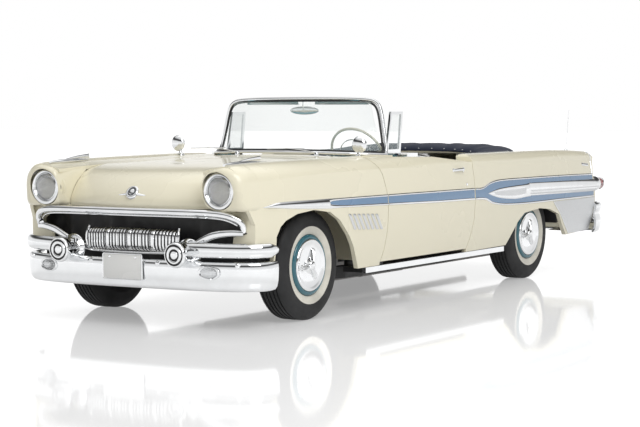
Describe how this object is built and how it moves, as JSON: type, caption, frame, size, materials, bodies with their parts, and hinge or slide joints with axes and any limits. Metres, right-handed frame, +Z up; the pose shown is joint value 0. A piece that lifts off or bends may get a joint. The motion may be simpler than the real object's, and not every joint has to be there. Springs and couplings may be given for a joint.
{
  "type": "two-door convertible car",
  "caption": "Full-size 1950s two-door convertible car with turning wheels, steering, opening doors, hood and rear deck lid.",
  "frame": {"origin": "centre of the bounding box in plan, on the ground under the tyres", "axes": "+Z up, +Y towards the tail, +X towards the car's own left side (driver's side)"},
  "size_m": [1.924, 5.44, 1.412],
  "materials": {
    "body_paint": "gloss cream enamel",
    "chrome": "polished",
    "frame_paint": "satin black",
    "tyre_rubber": "matt with a pale sidewall band",
    "wheel_paint": "gloss teal with chrome cap",
    "iron": "rough",
    "steel": "plain",
    "floor_paint": "satin",
    "glass": "clear",
    "lamp_glass": "ribbed clear",
    "red_glass": "red",
    "dash": "teal",
    "cream_plastic": "polished",
    "seat_leather": "grained, navy and cream",
    "boot_fabric": "navy canvas",
    "plate": "blank"
  },
  "bodies": {
    "body": {"front_fender_left": "body_paint", "front_fender_right": "body_paint", "cowl": "body_paint", "quarter_left": "body_paint", "quarter_right": "body_paint", "tail_panel": "body_paint", "rocker_mouldings": "chrome", "floor_pan": "floor_paint", "chassis_frame": "frame_paint", "front_crossmember": "frame_paint", "front_suspension": "frame_paint", "rear_axle": "iron", "leaf_springs": "steel", "engine_block": "iron", "radiator": "frame_paint", "exhaust_system": "steel", "front_bumper": "chrome", "rear_bumper": "chrome", "grille": "chrome", "grille_brow": "chrome", "grille_wings": "chrome", "number_plate": "plate", "headlamps": "lamp_glass", "headlamp_bezels": "chrome", "parking_lamps": "lamp_glass", "tail_lamps": "red_glass", "windshield_frame": "chrome", "windshield_glass": "glass", "dashboard": "dash", "steering_column": "cream_plastic", "front_seat_cushion": "seat_leather", "front_seat_back": "seat_leather", "rear_seat": "seat_leather", "top_boot": "boot_fabric", "side_mirrors": "chrome"},
    "knuckle_left": {"knuckle_left": "iron"},
    "knuckle_right": {"knuckle_right": "iron"},
    "wheel_front_left": {"tyre_front_left": "tyre_rubber", "wheel_front_left": "wheel_paint"},
    "wheel_front_right": {"tyre_front_right": "tyre_rubber", "wheel_front_right": "wheel_paint"},
    "wheel_rear_left": {"tyre_rear_left": "tyre_rubber", "wheel_rear_left": "wheel_paint"},
    "wheel_rear_right": {"tyre_rear_right": "tyre_rubber", "wheel_rear_right": "wheel_paint"},
    "hood": {"hood": "body_paint"},
    "deck_lid": {"deck_lid": "body_paint"},
    "door_left": {"door_left": "body_paint", "vent_frame_left": "chrome", "vent_glass_left": "glass"},
    "door_right": {"door_right": "body_paint", "vent_frame_right": "chrome", "vent_glass_right": "glass"},
    "steering_wheel": {"steering_wheel": "cream_plastic"}
  },
  "joints": [
    {"name": "steer_left", "type": "hinge", "parent": "body", "child": "knuckle_left", "pos_m": [0.655, -1.82, 0.35], "axis": [0, 0, 1], "range_deg": [-30, 30]},
    {"name": "steer_right", "type": "hinge", "parent": "body", "child": "knuckle_right", "pos_m": [-0.655, -1.82, 0.35], "axis": [0, 0, 1], "range_deg": [-30, 30]},
    {"name": "steering_wheel_turn", "type": "hinge", "parent": "body", "child": "steering_wheel", "pos_m": [0.345, -0.39, 1.003], "axis": [0, 0.8829, 0.4695], "range_deg": [-600, 600]},
    {"name": "wheel_front_left_spin", "type": "hinge", "parent": "knuckle_left", "child": "wheel_front_left", "pos_m": [0.752, -1.82, 0.35], "axis": [1, 0, 0], "continuous": true},
    {"name": "wheel_rear_left_spin", "type": "hinge", "parent": "body", "child": "wheel_rear_left", "pos_m": [0.752, 1.33, 0.35], "axis": [1, 0, 0], "continuous": true},
    {"name": "wheel_front_right_spin", "type": "hinge", "parent": "knuckle_right", "child": "wheel_front_right", "pos_m": [-0.752, -1.82, 0.35], "axis": [1, 0, 0], "continuous": true},
    {"name": "wheel_rear_right_spin", "type": "hinge", "parent": "body", "child": "wheel_rear_right", "pos_m": [-0.752, 1.33, 0.35], "axis": [1, 0, 0], "continuous": true},
    {"name": "hood_lift", "type": "hinge", "parent": "body", "child": "hood", "pos_m": [0, -0.996, 1.02], "axis": [-1, 0, 0], "range_deg": [0, 50]},
    {"name": "deck_lift", "type": "hinge", "parent": "body", "child": "deck_lid", "pos_m": [0, 1.592, 0.985], "axis": [1, 0, 0], "range_deg": [0, 60]},
    {"name": "door_left_swing", "type": "hinge", "parent": "body", "child": "door_left", "pos_m": [0.957, -1.13, 0.65], "axis": [0, 0, -1], "range_deg": [0, 65]},
    {"name": "door_right_swing", "type": "hinge", "parent": "body", "child": "door_right", "pos_m": [-0.957, -1.13, 0.65], "axis": [0, 0, 1], "range_deg": [0, 65]}
  ],
  "couplings": [
    {"joint": "steer_right", "follows": "steer_left", "ratio": 1},
    {"joint": "steering_wheel_turn", "follows": "steer_left", "ratio": 18}
  ]
}
